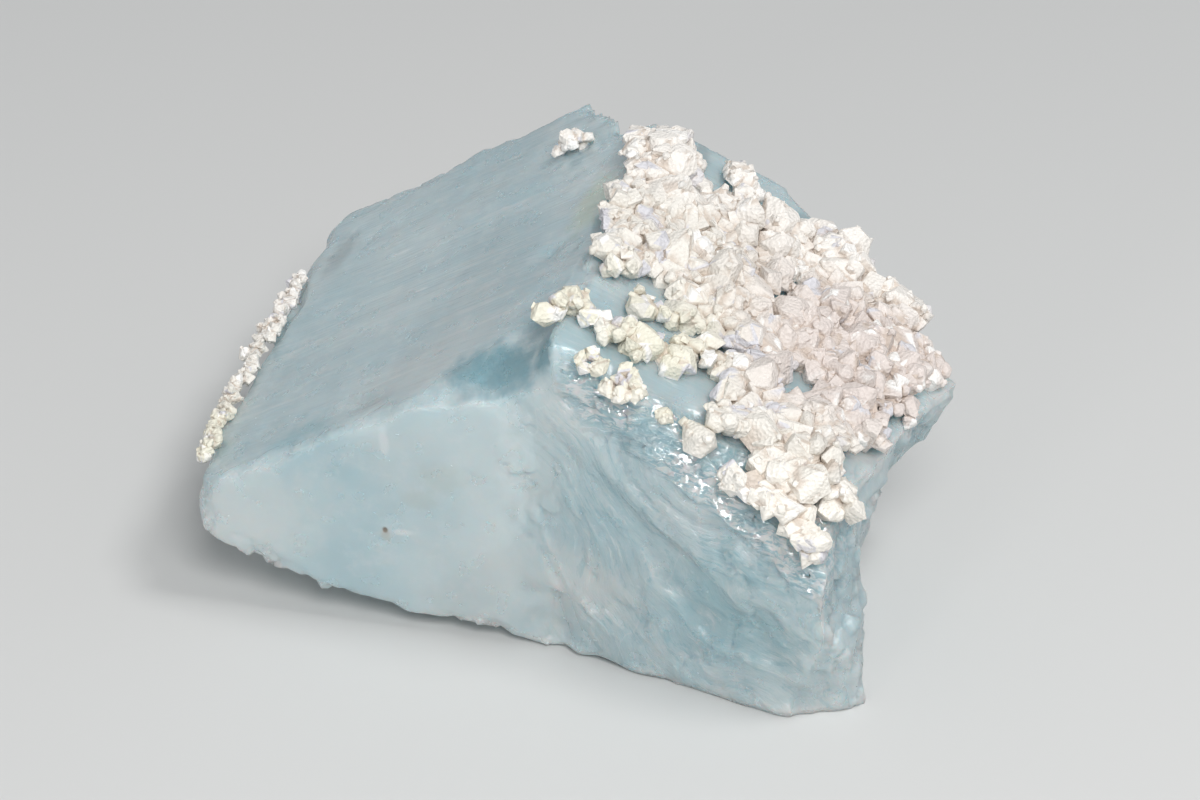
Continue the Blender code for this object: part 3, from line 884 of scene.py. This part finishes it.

# %% [markdown]
# ## The topaz finish
# Topaz is a clear mineral, and this one is a pale, cloudy blue. Its clearness is plain
# transmission with topaz's index of refraction, and its blue is an absorption that deepens
# with the thickness of the stone. The cloudiness comes from tiny flaws, so the light that
# does not pass through is scattered just under the surface. Thin veils lie across the
# crystal's long axis, where it has begun to split; they read as white streaks. The ribbed
# front carries fine fibres, and the splintered strip has bright sheets, like foil, where
# light is thrown back by cracks inside; that reflection is painted into the colour, under a
# glossy coat. The thin edges are painted paler, as a glow, and the chipped wedge at the
# crest's end is painted darker, as shade. Polished splits are glossier than the rough
# breaks, and a few stains and specks mark it as a natural stone.

# %% Stains of the topaz, and patches of painted shade
# A colour, how strong it is, and the centre and half size of each mark in millimetres.
STAINS_AND_SHADE = (
    # darker blue: painted shade on the chipped wedge at the crest's end and by the crest's front
    ((0.28, 0.50, 0.57), 0.85, (
        ((-4.8, 2.6, -4.2), (6.4, 3.0, 2.6)), ((-0.8, 1.6, -1.8), (1.8, 2.4, 1.8)))),
    # darker blue, low at the right of the front and low on the left
    ((0.36, 0.60, 0.66), 0.55, (
        ((14.0, -4.0, -20.0), (8.0, 5.0, 7.0)), ((-20.0, 2.5, -11.5), (9.0, 1.8, 2.0)))),
    # milky clouds
    ((0.88, 0.92, 0.91), 0.60, (
        ((1.5, -1.0, -21.5), (5.5, 3.0, 4.5)), ((1.5, -0.5, -5.5), (3.5, 3.0, 4.0)),
        ((-25.0, 0.0, -17.0), (8.0, 3.0, 6.0)), ((26.0, 20.0, -14.0), (3.0, 5.0, 4.0)))),
    # a yellow-green stain beside the crust, and grey ones along the back
    ((0.70, 0.78, 0.58), 0.50, (((-2.6, 23.0, -1.3), (2.2, 6.0, 2.5)),)),
    ((0.33, 0.40, 0.42), 0.50, (
        ((-28.0, 34.0, -14.8), (1.6, 4.5, 2.5)), ((4.0, 31.5, -2.0), (1.2, 4.0, 1.5)),
        ((12.8, 30.5, -6.8), (2.5, 1.6, 2.5)))),
    # a faint brown cloud on the front, and the brown speck below it
    ((0.62, 0.60, 0.50), 0.20, (
        ((-9.2, 0.0, -12.9), (2.6, 1.5, 1.8)), ((-11.0, 0.0, -15.0), (1.8, 1.5, 1.2)))),
    ((0.10, 0.05, 0.02), 1.00, (((-14.1, 0.0, -18.1), (0.30, 1.2, 0.38)),)),
    # black specks at the right
    ((0.07, 0.08, 0.09), 1.00, (
        ((23.1, 8.9, -12.2), (0.45, 0.6, 0.5)), ((22.6, 8.0, -11.9), (0.3, 0.4, 0.3)),
        ((23.6, 9.4, -13.2), (0.3, 0.4, 0.35)))),
    # the halo of the brown speck, and small white scratches
    ((0.66, 0.58, 0.48), 0.45, (((-14.1, 0.0, -18.5), (0.55, 1.2, 0.9)),)),
    ((0.90, 0.98, 1.00), 0.80, (
        ((-12.7, 0.0, -18.2), (1.3, 1.0, 0.35)), ((-13.4, 0.0, -9.8), (0.5, 1.0, 1.8)),
        ((-16.4, 20.0, -8.7), (0.9, 0.35, 0.9)), ((-21.0, 29.0, -11.1), (1.5, 0.4, 1.2)))),
)
RAGGED = 0.8                  # how uneven the edge of a stain is


def add_stains_and_shade(net, place, colour):
    for tint, strength, marks in STAINS_AND_SHADE:
        for centre, size in marks:
            mark = net.add("ShaderNodeGroup", node_tree=SPOT)
            for socket, value in (("Place", place), ("Centre", centre), ("Size", size),
                                  ("Ragged", RAGGED)):
                net.feed(mark.inputs[socket], value)
            colour = net.blend(net.times(mark.outputs["Mask"], strength), colour, tint)
    return colour


print("stains:", sum(len(marks) for _, _, marks in STAINS_AND_SHADE))

# %% Topaz
TOPAZ_CLEARNESS = 0.42        # the share of light that passes through
TOPAZ_INDEX = 1.61            # index of refraction
TOPAZ_BLUE = (0.58, 0.83, 0.88, 1.0)
TOPAZ_DENSITY = 14.0          # how fast the blue deepens, for each metre
PALE, PALER = (0.56, 0.73, 0.78), (0.71, 0.81, 0.83)


def topaz_finish():
    finish, net, shader = new_finish("cloudy blue topaz")
    place = net.crystal_place()
    ribbed, strip, broken, edge = [net.stored(name)
                                   for name in ("ribbed", "strip", "broken", "edge")]

    # milky clouds, veils across the long axis, frost and thin cracks
    milk = net.ramp(net.cloud(place, 0.07), 0.35, 0.68)
    veil_place = net.vectors("MULTIPLY", place, (0.05, 0.75, 0.05))
    veils = net.ramp(net.cloud(veil_place, 1.0, 5.0, 0.6, 0.6), 0.50, 0.74, 0.0, 0.6)
    frost = net.ramp(net.cloud(place, 0.45, 7.0, 0.7), 0.48, 0.72, 0.0, 0.45)
    cracks = net.minus(net.cloud(veil_place, 0.6, 0.0, 0.5, 0.6), 0.5)
    cracks = net.ramp(net.maths("ABSOLUTE", cracks), 0.0, 0.006, 0.35, 0.0)
    colour = net.blend(milk, PALE, PALER)
    colour = net.blend(veils, colour, (0.86, 0.93, 0.93))
    colour = net.blend(frost, colour, (0.88, 0.93, 0.93))
    colour = net.blend(cracks, colour, (0.92, 0.96, 0.96))
    # the stains, and the painted shade on the wedge at the crest's end
    colour = add_stains_and_shade(net, place, colour)

    # fibres on the ribbed front: broad pale ones, then fine dark and bright ones
    fan_place = net.stored("fan", "Vector")
    fan_lines = net.cloud(fan_place, 1.0, 7.0, 0.72, 0.3)
    fibres = net.cloud(fan_place, 3.2, 5.0, 0.75, 0.2)
    for pattern, low, high, strength, tint in (
            (fan_lines, 0.48, 0.70, 0.60, (0.84, 0.92, 0.93)),
            (fibres, 0.46, 0.36, 0.55, (0.38, 0.60, 0.66)),
            (fibres, 0.56, 0.66, 0.60, (0.88, 0.96, 0.97))):
        mask = net.ramp(pattern, low, high, 0.0, strength)
        colour = net.blend(net.times(mask, ribbed), colour, tint)

    # the splintered strip: a deeper blue with silver sheets, combed into strands; the sheets are
    # a painted reflection
    splinter_place = net.stored("splinter", "Vector")
    split = net.cloud(splinter_place, 1.0, 5.0, 0.65, 0.8)
    sheets = net.ramp(net.cloud(place, 0.17, 2.0), 0.40, 0.50, 0.40, 1.0)
    strands = net.ramp(net.cloud(splinter_place, 2.6, 5.0, 0.7, 0.5), 0.44, 0.54, 0.10, 1.0)
    colour = net.blend(net.times(strip, 0.7), colour, (0.36, 0.60, 0.67))
    painted_and_coated_glint = net.times(strip, net.times(sheets, strands))
    colour = net.blend(painted_and_coated_glint, colour, (0.88, 0.97, 1.00))
    # painted light: paler along the thin edges, a painted glow of light through the stone
    colour = net.blend(net.times(edge, 0.45), colour, (0.90, 0.95, 0.95))

    # polish: rougher on breaks, glossier on the strip, with a mirror coat where the reflection is
    # painted
    polish = net.ramp(net.cloud(place, 0.5, 4.0), 0.35, 0.65, 0.14, 0.28)
    rougher = net.plus(polish, net.times(broken, 0.12))
    for socket, value in (
            ("Base Color", colour), ("Transmission Weight", TOPAZ_CLEARNESS),
            ("IOR", TOPAZ_INDEX), ("Subsurface Weight", 1.0),
            ("Subsurface Radius", (0.7, 1.0, 1.1)), ("Subsurface Scale", 1.3 * MM),
            ("Roughness", net.minus(rougher, net.times(strip, 0.10))),
            ("Coat Weight", painted_and_coated_glint), ("Coat Roughness", 0.06), ("Coat IOR", 2.0)):
        net.feed(shader.inputs[socket], value)
    blue = net.add("ShaderNodeVolumeAbsorption", Color=TOPAZ_BLUE, Density=TOPAZ_DENSITY)
    net.feed(net.nodes["Material Output"].inputs["Volume"], blue.outputs["Volume"])

    # bumps
    fine = net.times(net.cloud(veil_place, 4.0, 4.0), 0.35)
    fanned = net.times(net.plus(fan_lines, fibres), ribbed)
    splintered = net.times(net.times(net.plus(split, strands), strip), 2.2)
    grain = net.times(net.cloud(place, 1.1, 5.0, 0.6), broken)
    height = net.plus(net.plus(net.plus(fanned, splintered), fine), grain)
    bump = net.add("ShaderNodeBump", Strength=0.5, Distance=0.35 * MM)
    net.feed(bump.inputs["Height"], height)
    net.feed(shader.inputs["Normal"], bump.outputs["Normal"])
    return finish


# %% [markdown]
# ## The albite finish
# Albite is a white feldspar, and iron and clay tint it cream to pinkish beige. Where it lies
# on the stone sets its tint: whiter at the front tongue and at the rear, yellowish in the
# chains near the crest, and pinkish at the right. Each crystal also has its own shade, some
# chalky, some a little lavender grey. The creases are painted browner and darker, partly as
# dirt and partly as painted shade, and tiny flat faces on the crystals catch the light. No light
# is scattered below its surface, because the crystals pass into each other and their hidden
# walls would darken the creases.

# %% Albite
# the crease colour stands for dirt and for painted shade
CREAM, CREASE_DIRT_AND_SHADE = (0.78, 0.745, 0.685), (0.52, 0.42, 0.34)


def albite_finish():
    finish, net, shader = new_finish("creamy albite")
    place = net.crystal_place()
    shade = net.stored("shade")
    hollow = net.stored("hollow")
    split_up = net.add("ShaderNodeSeparateXYZ")
    net.feed(split_up.inputs["Vector"], place)
    across_mm, back_mm = split_up.outputs["X"], split_up.outputs["Y"]

    at_right = net.times(net.ramp(across_mm, 7.0, 18.0), net.ramp(back_mm, 1.0, 9.0))
    at_chains = net.times(net.ramp(across_mm, 14.0, 8.0), net.ramp(back_mm, 14.0, 8.0))
    at_tongue = net.ramp(back_mm, 0.5, -2.5)
    at_rear = net.ramp(back_mm, 20.0, 25.0)
    chalky = net.ramp(shade, 0.70, 0.85)
    greyer = net.ramp(shade, 0.25, 0.12)
    # browner and darker where closed in: partly dirt, partly painted shade
    crease_dirt_and_shade = net.ramp(hollow, 0.30, 0.95, 0.0, 0.65)
    body = CREAM
    for mask, tint in (
            (at_right, (0.70, 0.625, 0.585)), (at_chains, (0.78, 0.75, 0.63)),
            (at_tongue, (0.88, 0.84, 0.77)), (at_rear, (0.84, 0.80, 0.75)),
            (chalky, (0.90, 0.88, 0.85)), (greyer, (0.65, 0.64, 0.67)),
            (crease_dirt_and_shade, CREASE_DIRT_AND_SHADE)):
        body = net.blend(mask, body, tint)
    net.feed(shader.inputs["Base Color"], body)

    glints = net.add("ShaderNodeGroup", node_tree=GLINTS, Cells=3.5)
    net.feed(glints.inputs["Place"], place)
    sheen = net.ramp(glints.outputs["Flash"], 0.0, 1.0, 0.55, 0.18)
    net.feed(shader.inputs["Roughness"], sheen)
    uneven = net.cloud(place, 2.2, 6.0, 0.7)
    bump = net.add("ShaderNodeBump", Strength=0.6, Distance=0.20 * MM)
    net.feed(bump.inputs["Height"],
             net.plus(glints.outputs["Height"], uneven))
    net.feed(shader.inputs["Normal"], bump.outputs["Normal"])
    return finish


# %% [markdown]
# ## Dressing the pieces
# Each piece gets its finish and rides on the root body, and the solid it stands for is hidden.
# The topaz is shaded smooth up to a steep angle, so that only real chips show an edge.

# %% Dress the pieces
def dress(piece, node, finish, crease):
    """Give a piece its finish and smooth shading, hide the solid it stands for, and hang it on
    the root body.
    """
    piece.data.materials.clear()
    piece.data.materials.append(finish)
    pick(piece)
    bpy.ops.object.shade_smooth_by_angle(angle=math.radians(crease))
    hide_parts(node)
    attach(piece, "root")


TOPAZ_CREASE, ALBITE_CREASE = 75.0, 42.0      # degrees
dress(topaz, "topaz_crystal", topaz_finish(), TOPAZ_CREASE)
creamy_albite = albite_finish()
albite_pieces = {"albite_crust": crust, "albite_rim": rim, **grains}
for node, piece in albite_pieces.items():
    dress(piece, node, creamy_albite, ALBITE_CREASE)
print("dressed", 1 + len(albite_pieces), "pieces")

# %% [markdown]
# ## Camera and light
# A long lens from in front and above, a large soft key light over the viewer's shoulder, a
# weak light from behind for the left face, one from the upper right, and a small low one at
# the front that makes the silver splinters glint.

# %% Camera and light
LAMPS = (        # name, place in metres, width in metres, power in watts
    ("key light", (0.08, -0.42, 0.42), 0.26, 2.15),
    ("rim light", (-0.22, 0.60, 0.20), 0.36, 0.10),
    ("front light", (-0.22, -0.49, 0.13), 0.10, 0.34),
    ("top light", (0.24, -0.10, 0.48), 0.16, 0.9))
AIM = Vector((0, 0, 0.01))
for name, place, width, power in LAMPS:
    lamp = bpy.data.lights.new(name, "AREA")
    lamp.shape = "DISK"
    lamp.size = width
    lamp.energy = power
    item = bpy.data.objects.new(name, lamp)
    item.location = place
    item.rotation_euler = (AIM - Vector(place)).to_track_quat("-Z", "Y").to_euler()
    scene.collection.objects.link(item)

scene.world = bpy.data.worlds.new("studio")
scene.world.use_nodes = True
glow = scene.world.node_tree.nodes["Background"].inputs
glow["Color"].default_value = (0.94, 0.97, 1.0, 1.0)
glow["Strength"].default_value = 0.38
scene.view_settings.view_transform = "Standard"

lens = bpy.data.cameras.new("camera")
lens.lens = 120.0
lens.sensor_width = 36.0
camera = bpy.data.objects.new("camera", lens)
camera.location = (0.00184, -0.2753, 0.1706)
camera.rotation_euler = (math.radians(60.0), 0.0, 0.0)
scene.collection.objects.link(camera)
scene.camera = camera

bpy.ops.object.select_all(action="DESELECT")
bpy.ops.mesh.primitive_plane_add(size=3.0)
floor = bpy.context.object
floor.name = "floor"
pale, _, floor_shader = new_finish("pale floor")
floor_shader.inputs["Base Color"].default_value = (0.62, 0.62, 0.61, 1.0)
floor_shader.inputs["Roughness"].default_value = 0.7
floor.data.materials.append(pale)
print("lights:", [name for name, *_ in LAMPS])
